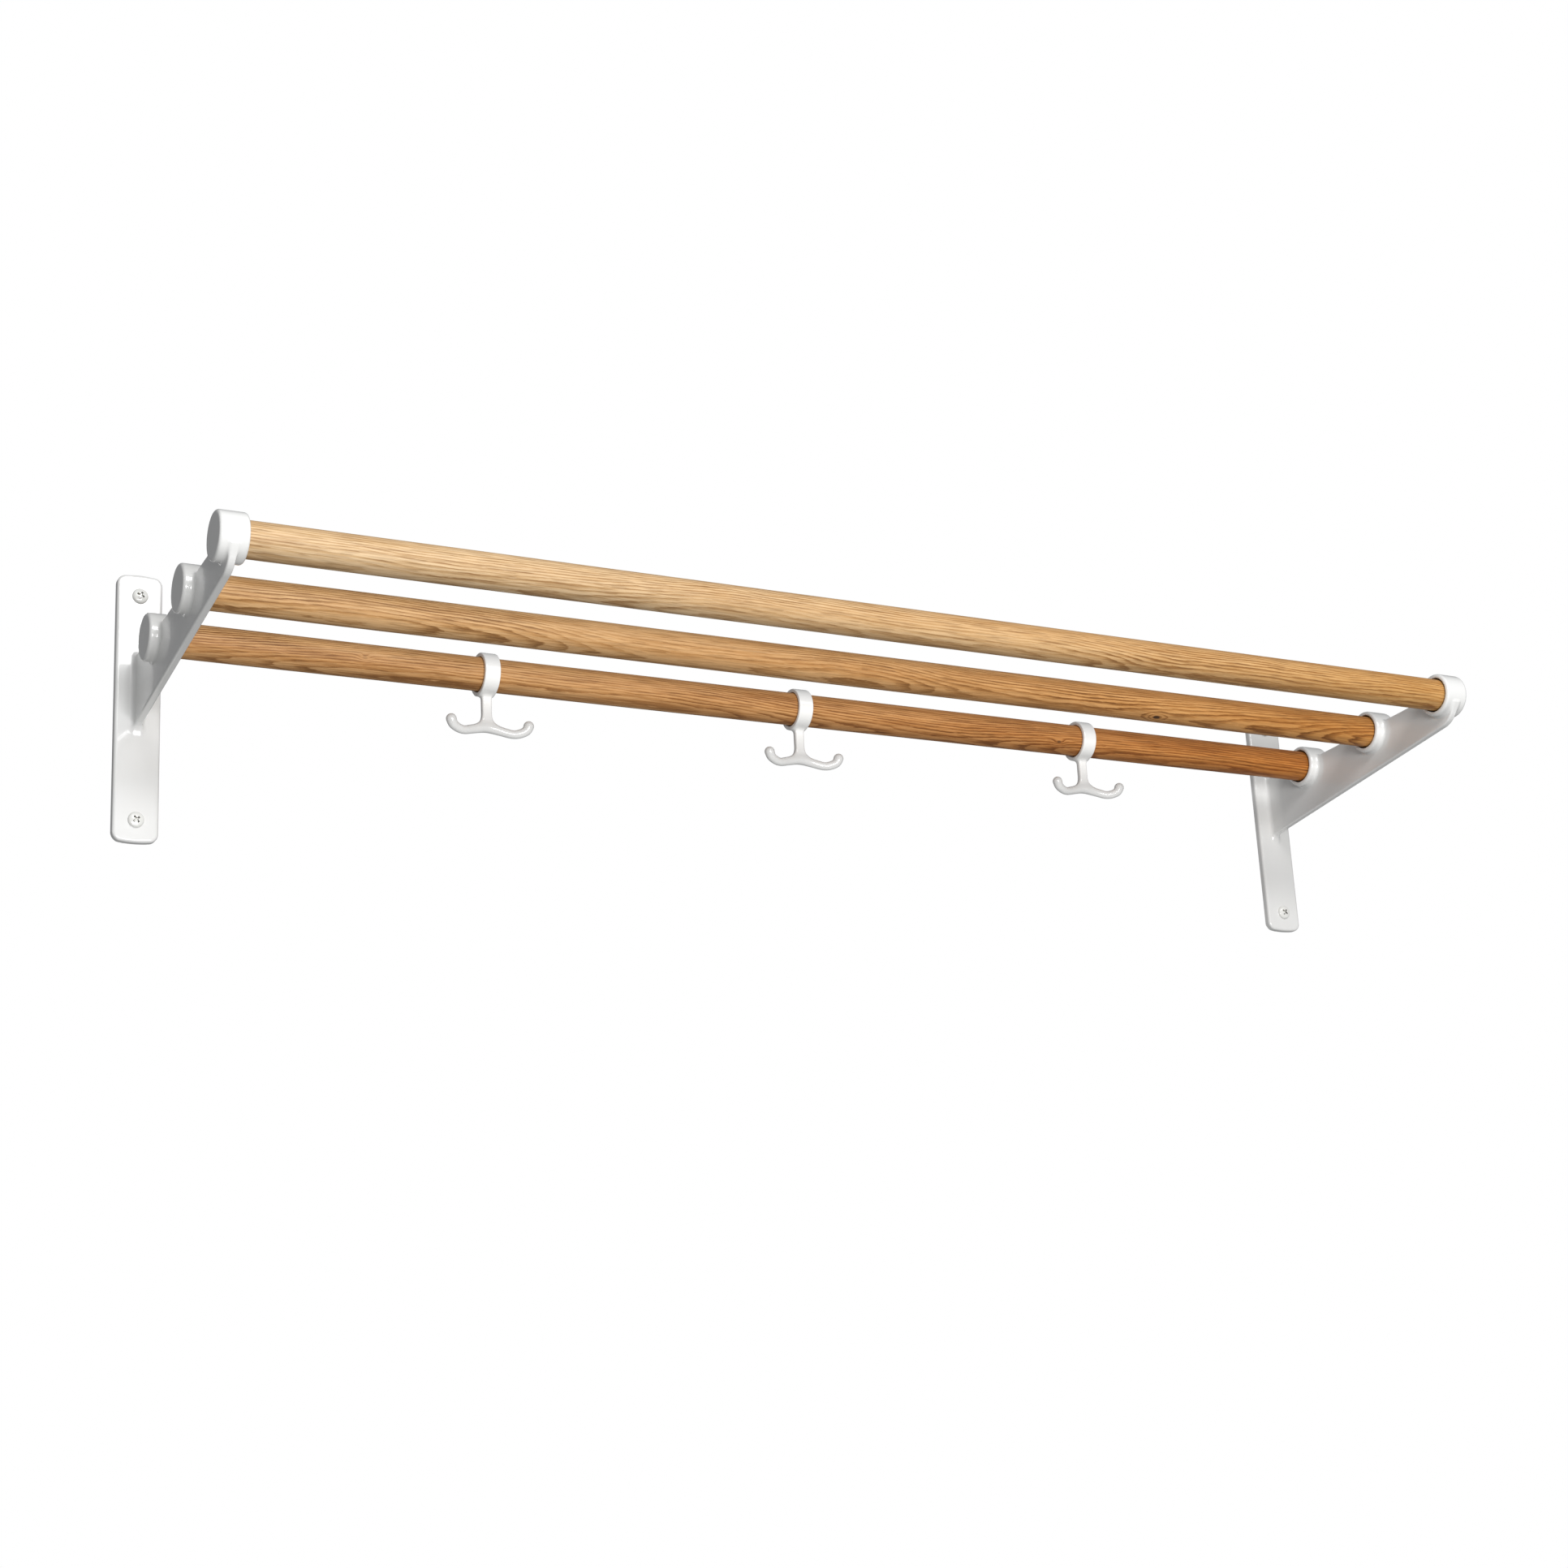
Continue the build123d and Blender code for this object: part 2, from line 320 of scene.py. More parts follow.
def make_brackets(material):
    """The right bracket and its mirror image."""
    low = (STRAP_LOW[0], STRAP_LOW[1], STRAP_LOW[2])
    high = (STRAP_HIGH[0], 0.0, STRAP_HIGH[2])
    points, faces, normals = mesh_from_field(bracket_field, low, high, BRACKET_VOXEL)
    mesh = add_mesh("cast_bracket_right", points, faces, normals)
    add_piece("cast_bracket_right", mesh, "rack", "bracket_paint", [material], "bracket_right")
    mirror = np.array([-1.0, 1.0, 1.0])
    mesh = add_mesh("cast_bracket_left", points * mirror, [f[::-1] for f in faces], normals * mirror)
    add_piece("cast_bracket_left", mesh, "rack", "bracket_paint", [material], "bracket_left")


# ---------------------------------------------------------------- hooks


def smooth_line(stations, count):
    """A Catmull-Rom curve through the stations; its first half-span leaves the start straight out."""
    points = [np.array(s, float) for s in stations]
    before = points[0] * 2 - points[1]
    before[1:] = points[1][1:]
    after = points[-1] + np.array([0.4, 0.4, 4.0])
    control = [before] + points + [after]
    out = []
    spans = len(points) - 1
    for i in range(count + 1):
        place = min(i * spans / count, spans - 1e-9)
        k, t = int(place), place - int(place)
        p0, p1, p2, p3 = control[k : k + 4]
        square = (2 * p0 - 5 * p1 + 4 * p2 - p3) * t**2
        cube = (3 * p1 - p0 - 3 * p2 + p3) * t**3
        out.append(0.5 * (2 * p1 + (p2 - p0) * t + square + cube))
    return out


RING_Z = -(RING_INNER - REAR[2] - RING_GAP)
PRONG_STATIONS = [(out, -ahead, up - PRONG_DROP) for out, ahead, up in PRONG_LINE]
PRONG_STEPS = 20
PRONG_POINTS = smooth_line(PRONG_STATIONS, PRONG_STEPS)
STATION_NUMBERS = range(len(PRONG_RADII))
PRONG_PLACES = np.linspace(0, STATION_NUMBERS[-1], PRONG_STEPS + 1)
PRONG_SIZES = np.interp(PRONG_PLACES, STATION_NUMBERS, PRONG_RADII)


def stem_outline():
    """Corners (x, z) of the stem, whose foot flares along an arc into the two prongs."""
    half = STEM_WIDTH / 2
    flare_from = CROTCH_RISE + 1
    side = CROTCH_SPAN - half
    drop = flare_from + 2
    radius = (side**2 + drop**2) / (2 * side)
    centre = half + radius
    sweep = math.atan2(drop, centre - CROTCH_SPAN)
    right = [(half, RING_Z - RING_INNER - 1 + PRONG_DROP)]
    for step in range(9):
        angle = sweep * step / 8
        right.append((centre - radius * math.cos(angle), flare_from - radius * math.sin(angle)))
    return [(u, v - PRONG_DROP) for u, v in right] + [(-u, v - PRONG_DROP) for u, v in reversed(right)]


STEM_OUTLINE = stem_outline()


def hook_field(x, y, z):
    """A hook whose rod runs through the origin."""
    x = np.abs(x)
    away = np.hypot(y, z - RING_Z)
    ring = round_cut(away - RING_OUTER, x - RING_WIDTH / 2, RING_EDGE)
    stem = round_cut(polygon_field(x, z, STEM_OUTLINE), np.abs(y) - STEM_THICKNESS / 2, STEM_EDGE)
    prong = np.full(np.broadcast(x, y, z).shape, 1e9)
    spans = zip(PRONG_POINTS, PRONG_POINTS[1:], PRONG_SIZES, PRONG_SIZES[1:])
    for a, b, ra, rb in spans:
        d = b - a
        from_x, from_y, from_z = x - a[0], y - a[1], z - a[2]
        along = np.clip((from_x * d[0] + from_y * d[1] + from_z * d[2]) / (d @ d), 0, 1)
        off_x, off_y, off_z = from_x - along * d[0], from_y - along * d[1], from_z - along * d[2]
        reach = np.sqrt(off_x**2 + off_y**2 + off_z**2)
        prong = np.minimum(prong, reach - ra - along * (rb - ra))
    casting = soft_union(soft_union(ring, stem, HOOK_BLEND), prong, HOOK_BLEND)
    return round_cut(casting, RING_INNER - away, RING_BORE_EDGE)


def make_hooks(material):
    """One casting, drawn once and hung at each hook's place on the rear rod."""
    half_span, below = 34.0, 8.5
    high = np.array([half_span, RING_OUTER, RING_Z + RING_OUTER])
    low = np.array([-half_span, -RING_OUTER, -PRONG_DROP - below])
    points, faces, normals = mesh_from_field(hook_field, low, high, HOOK_VOXEL)
    shared = add_mesh("cast_hook", points, faces, normals)
    for name in ("hook_left", "hook_centre", "hook_right"):
        low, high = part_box(name)
        at = ((low[0] + high[0]) / 2, REAR[0] / MM, REAR[1] / MM)
        add_piece("cast_" + name, shared.copy(), name, "hook_paint", [material], name, at=at)


# ---------------------------------------------------------------- screws


def screw_field(x, y, z):
    """A screw driven along +Y, with the wall plane at y = 0."""
    away = np.hypot(x, z)
    dome = 0.035 * away**2
    top = -STRAP_THICKNESS - SCREW_HEAD_HEIGHT
    head = round_cut(away - SCREW_HEAD_RADIUS, top + dome - y, SCREW_HEAD_EDGE)
    head = round_cut(head, y + STRAP_THICKNESS, 0.25)
    depth = y - top
    arm = np.maximum(SCREW_RECESS_WIDTH / 2 - 0.12 * depth, 0.05)
    span = SCREW_RECESS_SPAN / 2 - 0.75 * depth
    slot_a = np.maximum(np.abs(x) - span, np.abs(z) - arm)
    slot_b = np.maximum(np.abs(z) - span, np.abs(x) - arm)
    recess = np.maximum(np.minimum(slot_a, slot_b), depth - SCREW_RECESS_DEPTH)
    head = round_cut(head, -recess, 0.15)
    taper = np.clip((SCREW_TIP_Y - y) / SCREW_TIP, 0.04, 1)
    turn = np.mod(y / SCREW_PITCH - np.arctan2(z, x) / (2 * np.pi), 1.0)
    ridge = np.maximum(0, 1 - np.abs(turn - 0.5) / 0.27)
    threaded = np.clip((y - 0.5) / 2.0, 0, 1)
    radius = (SCREW_CORE + (SCREW_CREST - SCREW_CORE) * ridge * threaded) * taper
    plain = SCREW_NECK - 0.5 * np.clip(y - 0.5, 0, 8)
    side = 0.75 * (away - np.maximum(radius, plain))
    shank = np.maximum(side, np.maximum(y - SCREW_TIP_Y, top + 1.8 - y))
    return soft_union(head, shank, 0.4)


def make_screws(materials):
    """Four screws with enamelled heads; the second material is for the threads and the recess."""
    low = (-SCREW_HEAD_RADIUS, -STRAP_THICKNESS - SCREW_HEAD_HEIGHT, -SCREW_HEAD_RADIUS)
    high = (SCREW_HEAD_RADIUS, SCREW_TIP_Y, SCREW_HEAD_RADIUS)
    points, faces, normals = mesh_from_field(screw_field, low, high, SCREW_VOXEL)
    shared = add_mesh("wall_screw", points, faces, normals)
    for material in materials:
        shared.materials.append(material)
    for face in shared.polygons:
        c = face.center * MM
        facing_out = face.normal.y < -0.8
        in_recess = math.hypot(c.x, c.z) < 3.1 and c.y > -8.45 and not facing_out
        if c.y > -STRAP_THICKNESS or in_recess:
            face.material_index = 1
    for side in ("left", "right"):
        for level in ("upper", "lower"):
            node = f"wall_screw_{side}_{level}"
            low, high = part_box(node)
            at = ((low[0] + high[0]) / 2, 0.0, (low[2] + high[2]) / 2)
            name = node + "_threaded"
            piece = add_piece(name, shared.copy(), "rack", "screw_paint", materials, node, at=at)
            piece.rotation_euler = (0, SCREW_TURNS[node], 0)


# ---------------------------------------------------------------- rods


def make_rod(node, material, seed):
    """A turned dowel: a lathe mesh with softened ends and a trace of unevenness along its length."""
    rod_y, rod_z, radius = RODS[node]
    end = ROD_END
    stations = [(-end, 0.0), (-end, radius - 0.9), (-end + 0.25, radius - 0.3), (-end + 0.9, radius)]
    along = np.linspace(-end + 4, end - 4, 241)
    wave = 0.03 * np.sin(along / 61 + seed) + 0.02 * np.sin(along / 23.7 + 2.3 * seed)
    stations += [(x, radius - 0.05 + w) for x, w in zip(along, wave)]
    stations += [(end - 0.9, radius), (end - 0.25, radius - 0.3), (end, radius - 0.9), (end, 0.0)]
    around = 96
    points, faces, rows = [], [], []
    for x, r in stations:
        if r == 0:
            rows.append([len(points)] * around)
            points.append((x, rod_y, rod_z))
            continue
        rows.append(list(range(len(points), len(points) + around)))
        for step in range(around):
            angle = 2 * math.pi * step / around
            points.append((x, rod_y + r * math.cos(angle), rod_z + r * math.sin(angle)))
    for one, two in zip(rows, rows[1:]):
        for step in range(around):
            ahead = (step + 1) % around
            face = (one[step], one[ahead], two[ahead], two[step])
            faces.append(tuple(dict.fromkeys(face)))
    mesh = add_mesh("turned_" + node, points, faces)
    add_piece("turned_" + node, mesh, "rack", "oak", [material], node)


# ---------------------------------------------------------------- materials


class Graph:
    """A material's nodes, built by short calls that return sockets."""

    def __init__(self, name):
        self.material = bpy.data.materials.new(name)
        self.material.use_nodes = True
        self.nodes = self.material.node_tree.nodes
        self.links = self.material.node_tree.links
        self.shader = self.nodes["Principled BSDF"]
        coordinates = self.nodes.new("ShaderNodeTexCoord")
        self.place = self.vector("MULTIPLY", coordinates.outputs["Object"], (MM, MM, MM))

    def put(self, socket, value):
        if hasattr(value, "is_linked"):
            self.links.new(value, socket)
        else:
            socket.default_value = value

    def vector(self, operation, a, b):
        node = self.nodes.new("ShaderNodeVectorMath")
        node.operation = operation
        self.put(node.inputs[0], a)
        self.put(node.inputs[1], b)
        return node.outputs["Value" if operation == "LENGTH" else "Vector"]

    def maths(self, operation, a, b=0.0, c=None, clamp=False):
        node = self.nodes.new("ShaderNodeMath")
        node.operation = operation
        node.use_clamp = clamp
        self.put(node.inputs[0], a)
        self.put(node.inputs[1], b)
        if c is not None:
            self.put(node.inputs[2], c)
        return node.outputs[0]

    def noise(self, vector, detail=2.0, roughness=0.5, colour=False):
        node = self.nodes.new("ShaderNodeTexNoise")
        node.inputs["Scale"].default_value = 1.0
        node.inputs["Detail"].default_value = detail
        node.inputs["Roughness"].default_value = roughness
        node.inputs["Distortion"].default_value = 0.0
        self.links.new(vector, node.inputs["Vector"])
        return node.outputs["Color" if colour else "Fac"]

    def stretch(self, scale, shift=(0, 0, 0)):
        """Place, scaled along each axis and then shifted."""
        return self.vector("ADD", self.vector("MULTIPLY", self.place, scale), shift)

    def ramp(self, factor, stops):
        node = self.nodes.new("ShaderNodeValToRGB")
        ramp = node.color_ramp
        ramp.interpolation = "LINEAR"
        while len(ramp.elements) < len(stops):
            ramp.elements.new(0.5)
        for element, (position, colour) in zip(ramp.elements, stops):
            element.position = position
            element.color = (*colour, 1)
        self.links.new(factor, node.inputs[0])
        return node.outputs["Color"]

    def grey(self, factor, *stops):
        return self.ramp(factor, [(p, (v, v, v)) for p, v in stops])

    def grey_noise(self, scale, shift, detail, *stops):
        """Stretched noise sent through a grey ramp."""
        return self.grey(self.noise(self.stretch(scale, shift), detail=detail), *stops)

    def mix(self, factor, a, b, kind="MIX"):
        node = self.nodes.new("ShaderNodeMix")
        node.data_type = "RGBA"
        node.blend_type = kind
        self.put(node.inputs["Factor"], factor)
        self.put(node.inputs["A"], a if hasattr(a, "is_linked") else (*a, 1))
        self.put(node.inputs["B"], b if hasattr(b, "is_linked") else (*b, 1))
        return node.outputs["Result"]

    def bump(self, height, strength, distance, under=None):
        node = self.nodes.new("ShaderNodeBump")
        node.inputs["Strength"].default_value = strength
        node.inputs["Distance"].default_value = distance
        self.links.new(height, node.inputs["Height"])
        if under is not None:
            self.links.new(under, node.inputs["Normal"])
        return node.outputs["Normal"]

    def set(self, **values):
        for name, value in values.items():
            self.put(self.shader.inputs[name.replace("_", " ")], value)


def ring_radius(g, split, seed, pith):
    """Distance from a growth centre that wanders slowly along the rod."""
    wander = 48.0
    ripple_depth = 3.0
    sway = g.nodes.new("ShaderNodeSeparateXYZ")
    drift = g.noise(g.stretch((0.0022, 0.0, 0.0), (seed, 0, 0)), detail=2.0, colour=True)
    g.links.new(drift, sway.inputs[0])
    squares = []
    for i in (0, 1):
        off_centre = g.maths("SUBTRACT", sway.outputs[i], 0.5)
        from_pith = g.maths("SUBTRACT", split.outputs[i + 1], pith[i])
        off = g.maths("MULTIPLY_ADD", off_centre, wander, from_pith)
        squares.append(g.maths("MULTIPLY", off, off))
    radius = g.maths("SQRT", g.maths("ADD", *squares))
    ripple = g.noise(g.stretch((0.02, 0.13, 0.13), (seed * 3, 0, 0)), detail=4.0, roughness=0.6)
    return g.maths("MULTIPLY_ADD", g.maths("SUBTRACT", ripple, 0.5), ripple_depth, radius)


def add_knots(g, radius, knots):
    """Bend the rings round each knot; returns the bent radius and a mask of the knots' hearts."""
    mask = None
    for place, size, darkness in knots:
        flat = g.vector("MULTIPLY", g.vector("SUBTRACT", g.place, place), (0.5, 1.0, 1.0))
        away = g.maths("DIVIDE", g.vector("LENGTH", flat, (0, 0, 0)), size)
        swell = g.maths("EXPONENT", g.maths("MULTIPLY", g.maths("MULTIPLY", away, away), -0.12))
        radius = g.maths("MULTIPLY_ADD", swell, 2.6 * size, radius)
        heart = g.grey(g.maths("MULTIPLY", away, 0.5), (0.0, darkness), (0.40, darkness), (0.62, 0.0))
        mask = heart if mask is None else g.maths("MAXIMUM", mask, heart)
    return radius, mask


def oak_material(name, seed, pith, tone, right_end_shade, knots=()):
    """Clear-lacquered oak: growth rings round a pith line, pores, ray flecks and a few knots.

    pith is the (y, z) of the growth centre in millimetres; tone gives the pale, middle and deep
    colours; right_end_shade is painted shade, the darker, warmer tint reached at the right-hand end
    where the light falls off; a knot is (place, size, darkness).
    """
    g = Graph(name)
    split = g.nodes.new("ShaderNodeSeparateXYZ")
    g.links.new(g.place, split.inputs[0])
    radius, knot_mask = add_knots(g, ring_radius(g, split, seed, pith), knots)
    ring = g.maths("FRACT", g.maths("DIVIDE", radius, RING_SPACING))
    early = g.grey(ring, (0.0, 0.0), (0.10, 1.0), (0.38, 0.55), (0.62, 0.1), (1.0, 0.0))
    figure = g.grey_noise((0.006, 0.035, 0.035), (seed * 7, 0, 3), 1.0, (0.3, 0.35), (0.7, 1.0))
    early = g.maths("MULTIPLY", early, figure)
    broad = g.noise(g.stretch((0.004, 0.09, 0.09), (seed * 5, 4, 0)), detail=2.5)
    fibre = g.noise(g.stretch((0.03, 0.62, 0.62), (0, seed, 0)), detail=4.0, roughness=0.65)
    streak = g.noise(g.stretch((0.010, 0.33, 0.33), (seed, 0, seed)), detail=2.0, roughness=0.6)
    pore_stops = ((0.0, 0.0), (0.51, 0.0), (0.60, 1.0))
    pores = g.grey_noise((0.05, 1.05, 1.05), (0, 0, seed), 1.0, *pore_stops)
    pores = g.maths("MULTIPLY", pores, g.maths("MULTIPLY_ADD", early, 0.6, 0.4))
    fleck_stops = ((0.0, 0.0), (0.62, 0.0), (0.74, 1.0))
    flecks = g.grey_noise((0.13, 0.5, 0.9), (seed, seed, 0), 1.0, *fleck_stops)

    pale, mid, deep = tone
    shade = g.maths("MULTIPLY_ADD", fibre, 0.45, g.maths("MULTIPLY", streak, 0.35))
    shade = g.maths("MULTIPLY_ADD", early, 0.34, shade)
    wood = g.ramp(shade, [(0.39, pale), (0.50, mid), (0.645, deep)])
    ruddy = (mid[0] * 0.88, mid[1] * 0.8, mid[2] * 0.7)
    wood = g.mix(g.grey(broad, (0.3, 0.0), (0.68, 0.55)), wood, ruddy)
    silvery = (pale[0] * 1.08, pale[1] * 1.1, pale[2] * 1.15)
    wood = g.mix(g.maths("MULTIPLY", flecks, 0.22), wood, silvery)
    # painted shade: each rod darkened and warmed towards its right-hand end, where the light falls off
    along = g.maths("MULTIPLY_ADD", split.outputs[0], 0.0014, 0.3, clamp=True)
    wood = g.mix(along, wood, right_end_shade, kind="MULTIPLY")
    pore_brown = (deep[0] * 0.62, deep[1] * 0.56, deep[2] * 0.5)
    wood = g.mix(g.maths("MULTIPLY", pores, 0.6), wood, pore_brown)
    if knot_mask is not None:
        wood = g.mix(g.maths("MULTIPLY", knot_mask, 0.93), wood, KNOT_BROWN)

    worn = g.noise(g.stretch((0.02, 0.06, 0.06), (9, seed, 0)), detail=3.0)
    dull = g.maths("MULTIPLY_ADD", pores, 0.12, 0.36)
    g.set(Base_Color=wood, Roughness=g.maths("MULTIPLY_ADD", worn, 0.14, dull))
    g.set(Specular_IOR_Level=0.22)
    height = g.maths("SUBTRACT", g.maths("MULTIPLY", fibre, 0.35), pores)
    g.set(Normal=g.bump(height, 0.4, 0.00012))
    return g.material


def painted_bore_shade_mask(g):
    """One inside the brackets' cups, where the painted shade goes, zero everywhere else."""
    split = g.nodes.new("ShaderNodeSeparateXYZ")
    g.links.new(g.place, split.inputs[0])
    mask = 0.0
    for rod_y, rod_z, _ in RODS.values():
        offset = g.vector("MULTIPLY", g.vector("SUBTRACT", g.place, (0, rod_y, rod_z)), (0, 1, 1))
        near = g.maths("LESS_THAN", g.vector("LENGTH", offset, (0, 0, 0)), CUP_MOUTH + 0.2)
        mask = g.maths("MAXIMUM", near, mask)
    inwards = g.maths("LESS_THAN", g.maths("ABSOLUTE", split.outputs[0]), BRACKET_X + 2.0)
    return g.maths("MULTIPLY", mask, inwards)


def scaled(colour, factors):
    return tuple(c * k for c, k in zip(colour, factors))


def paint_material(name, colour, seed, shade_bores=False):
    """Gloss white powder coat over a casting: slight orange peel, painted shade in the hollows, rubbed
    edges.

    With the bore shading switched on, the insides of the brackets' cups are painted near-black as
    painted shade.
    """
    g = Graph(name)
    geometry = g.nodes.new("ShaderNodeNewGeometry")
    pointed = geometry.outputs["Pointiness"]
    cloud = g.grey_noise((0.03, 0.03, 0.03), (seed, 0, 0), 3.0, (0.3, 0.0), (0.75, 1.0))
    base = g.mix(cloud, colour, scaled(colour, (0.985, 0.982, 0.972)))
    # painted shade: concave hollows, found by pointiness, darkened as if occluded
    hollow = g.grey(pointed, (0.40, 0.22), (0.49, 0.0))
    base = g.mix(hollow, base, scaled(colour, (0.80, 0.79, 0.77)))
    rubbed = g.grey_noise((0.5, 0.5, 0.5), (0, 0, 0), 4.0, (0.45, 0.0), (0.7, 0.6))
    edge = g.maths("MULTIPLY", g.grey(pointed, (0.52, 0.0), (0.60, 1.0)), rubbed)
    base = g.mix(edge, base, scaled(colour, (0.93, 0.925, 0.91)))
    speck_stops = ((0.0, 0.0), (0.76, 0.0), (0.8, 0.35))
    specks = g.grey_noise((1.1, 1.1, 1.1), (0, seed, 0), 1.0, *speck_stops)
    base = g.mix(specks, base, scaled(colour, (0.86, 0.86, 0.86)))
    smear = g.noise(g.stretch((0.05, 0.05, 0.05), (0, 0, seed)), detail=4.0, roughness=0.6)
    if shade_bores:
        # painted shade: the insides of the cups painted near-black to stand in for the shadow in the gap
        # round each rod
        base = g.mix(painted_bore_shade_mask(g), base, PAINTED_BORE_SHADE)
    g.set(Base_Color=base, Roughness=g.maths("MULTIPLY_ADD", smear, 0.12, 0.16))
    g.set(Coat_Weight=0.6, Coat_Roughness=0.06, Specular_IOR_Level=0.5)
    peel = g.noise(g.stretch((0.7, 0.7, 0.7)), detail=1.0)
    waves = g.noise(g.stretch((0.07, 0.07, 0.07), (2, seed, 5)), detail=1.0)
    g.set(Normal=g.bump(peel, 0.06, 0.00010, g.bump(waves, 0.12, 0.0006)))
    return g.material


def steel_material():
    """Zinc-plated steel for the screw threads and the walls of the drive recess."""
    g = Graph("zinc_plated_steel")
    grain = g.noise(g.stretch((2.5, 2.5, 2.5)), detail=3.0)
    tint = g.noise(g.stretch((0.3, 0.3, 0.3), (7, 1, 2)), detail=2.0)
    base = g.ramp(tint, [(0.3, (0.36, 0.36, 0.35)), (0.7, (0.50, 0.48, 0.42))])
    g.set(Base_Color=base, Roughness=g.maths("MULTIPLY_ADD", grain, 0.25, 0.3), Metallic=0.85)
    g.set(Normal=g.bump(grain, 0.12, 0.0001))
    return g.material


def floor_material():
    g = Graph("pale_floor")
    cloud = g.noise(g.stretch((0.004, 0.004, 0.004)), detail=3.0)
    base = g.ramp(cloud, [(0.3, (0.78, 0.78, 0.77)), (0.7, (0.82, 0.82, 0.81))])
    g.set(Base_Color=base, Roughness=0.75)
    return g.material


# ---------------------------------------------------------------- scene


def make_floor():
    """A plain pale floor, two metres below the middle of the rack."""
    mesh = bpy.data.meshes.new("floor")
    side, steps = 9.0, 6
    row = steps + 1
    marks = [side * (i / steps - 0.5) for i in range(row)]
    corners = [(x, y, 0) for x in marks for y in marks]
    faces = []
    for i in range(steps):
        for j in range(steps):
            near, far = i * row + j, (i + 1) * row + j
            faces.append((near, far, far + 1, near + 1))
    mesh.from_pydata(corners, [], faces)
    mesh.materials.append(floor_material())
    floor = bpy.data.objects.new("floor", mesh)
    floor.location = (0, 0, FLOOR_Z)
    bpy.context.scene.collection.objects.link(floor)


def add_light(name, place, aim, size, watts):
    light = bpy.data.lights.new(name, "AREA")
    light.shape = "RECTANGLE"
    light.size, light.size_y = size
    light.energy = watts
    lamp = bpy.data.objects.new(name, light)
    lamp.location = place
    lamp.rotation_euler = (Vector(aim) - Vector(place)).to_track_quat("-Z", "Y").to_euler()
    bpy.context.scene.collection.objects.link(lamp)


def make_world(backdrop, ambient):
    """White behind the rack, and a gentler light for everything that lands on it."""
    world = bpy.data.worlds.new("studio")
    bpy.context.scene.world = world
    world.use_nodes = True
    nodes, links = world.node_tree.nodes, world.node_tree.links
    seen = nodes["Background"]
    seen.inputs["Color"].default_value = (1, 1, 1, 1)
    seen.inputs["Strength"].default_value = backdrop
    given = nodes.new("ShaderNodeBackground")
    given.inputs["Color"].default_value = (0.97, 0.98, 1.0, 1.0)
    given.inputs["Strength"].default_value = ambient
    path = nodes.new("ShaderNodeLightPath")
    mixer = nodes.new("ShaderNodeMixShader")
    links.new(path.outputs["Is Camera Ray"], mixer.inputs[0])
    links.new(given.outputs[0], mixer.inputs[1])
    links.new(seen.outputs[0], mixer.inputs[2])
    links.new(mixer.outputs[0], nodes["World Output"].inputs["Surface"])


def make_camera():
    camera = bpy.data.cameras.new("camera")
    camera.sensor_width = 36.0
    camera.lens = 60.485
    camera.clip_start, camera.clip_end = 0.05, 50
    eye = bpy.data.objects.new("camera", camera)
    eye.location = (-0.90828, -1.74624, -0.59979)
    eye.rotation_euler = Euler([math.radians(a) for a in (106.6791, 2.9385, -27.0585)], "XYZ")
    bpy.context.scene.collection.objects.link(eye)
    bpy.context.scene.camera = eye


# ---------------------------------------------------------------- values and assembly
FLOOR_Z = -2.05
CAST_WHITE = (0.785, 0.785, 0.775)
# painted light: the hooks carry the castings' white paint, made brighter to stand in for light they lose
# under the rods
HOOK_WHITE_PAINTED_LIGHT = (0.87, 0.87, 0.86)
# painted shade for the insides of the cups, near-black
PAINTED_BORE_SHADE = (0.06, 0.045, 0.04)
SCREW_WHITE = (0.80, 0.80, 0.775)
HONEY = ((0.70, 0.51, 0.305), (0.56, 0.37, 0.19), (0.28, 0.14, 0.050))
AMBER = ((0.68, 0.43, 0.21), (0.51, 0.285, 0.115), (0.235, 0.107, 0.031))
RUSSET = ((0.63, 0.365, 0.16), (0.465, 0.235, 0.085), (0.20, 0.080, 0.020))
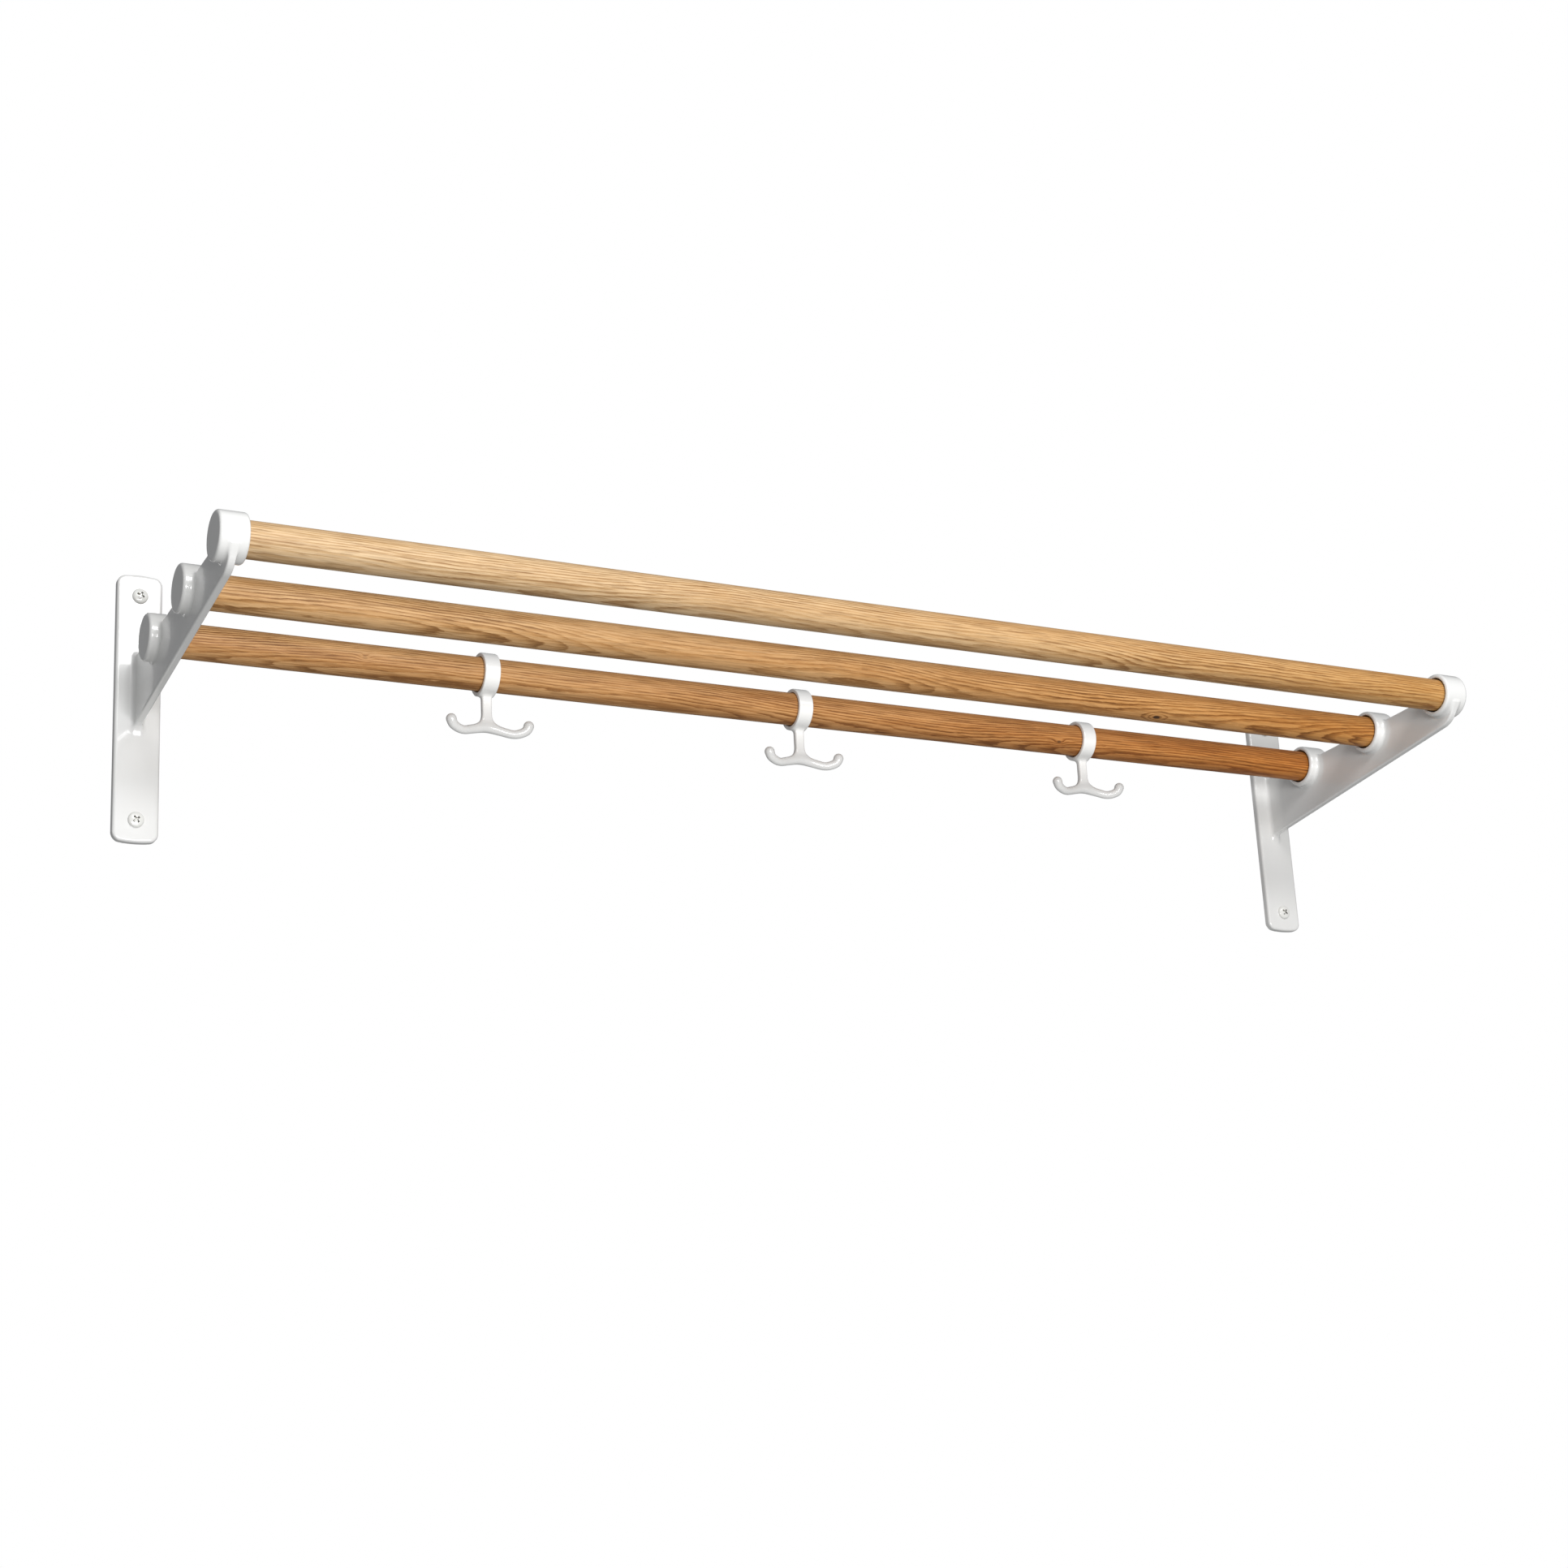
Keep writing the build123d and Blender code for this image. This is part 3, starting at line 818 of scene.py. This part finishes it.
# painted shade: the darker, warmer tints multiplied in at each rod's right-hand end
HONEY_RIGHT_END_SHADE = (0.90, 0.70, 0.42)
AMBER_RIGHT_END_SHADE = (0.88, 0.65, 0.36)
RUSSET_RIGHT_END_SHADE = (0.84, 0.56, 0.27)
RING_SPACING = 1.8
KNOT_BROWN = (0.035, 0.016, 0.009)
FRONT_PITH = (-215.0, 118.0)
MIDDLE_PITH = (-112.0, 108.0)
REAR_PITH = (-84.0, -42.0)
MIDDLE_KNOTS = (((269.2, -151.9, 24.6), 1.5, 1.0),)
REAR_KNOTS = (((231.6, -70.3, 25.9), 0.9, 0.7), ((-347.3, -71.9, 30.5), 0.9, 0.25))

bracket_paint = paint_material("bracket_gloss_white", CAST_WHITE, 1.0, shade_bores=True)
hook_paint = paint_material("hook_gloss_white_painted_light", HOOK_WHITE_PAINTED_LIGHT, 6.0)
screw_paint = paint_material("screw_enamel_white", SCREW_WHITE, 11.0)

make_brackets(bracket_paint)
make_hooks(hook_paint)
make_screws([screw_paint, steel_material()])
front_oak = oak_material("oak_front", 2.0, FRONT_PITH, HONEY, HONEY_RIGHT_END_SHADE)
middle_oak = oak_material("oak_middle", 5.3, MIDDLE_PITH, AMBER, AMBER_RIGHT_END_SHADE, MIDDLE_KNOTS)
rear_oak = oak_material("oak_rear", 9.1, REAR_PITH, RUSSET, RUSSET_RIGHT_END_SHADE, REAR_KNOTS)
make_rod("front_rod", front_oak, 1.0)
make_rod("middle_rod", middle_oak, 2.0)
make_rod("rear_rod", rear_oak, 3.0)

make_floor()
make_world(backdrop=1.0, ambient=0.235)
add_light("upper_key", (-0.3, -2.3, 1.15), (0.0, -0.1, 0.0), (1.2, 0.7), 34)
add_light("lower_key", (-0.3, -2.3, -0.34), (0.0, -0.1, 0.0), (1.2, 0.5), 34)
add_light("sheen", (0.85, -2.3, 1.1), (0.1, -0.1, 0.0), (1.6, 0.4), 5)
make_camera()
bpy.context.scene.view_settings.view_transform = "Standard"
bpy.context.scene.view_settings.look = "None"
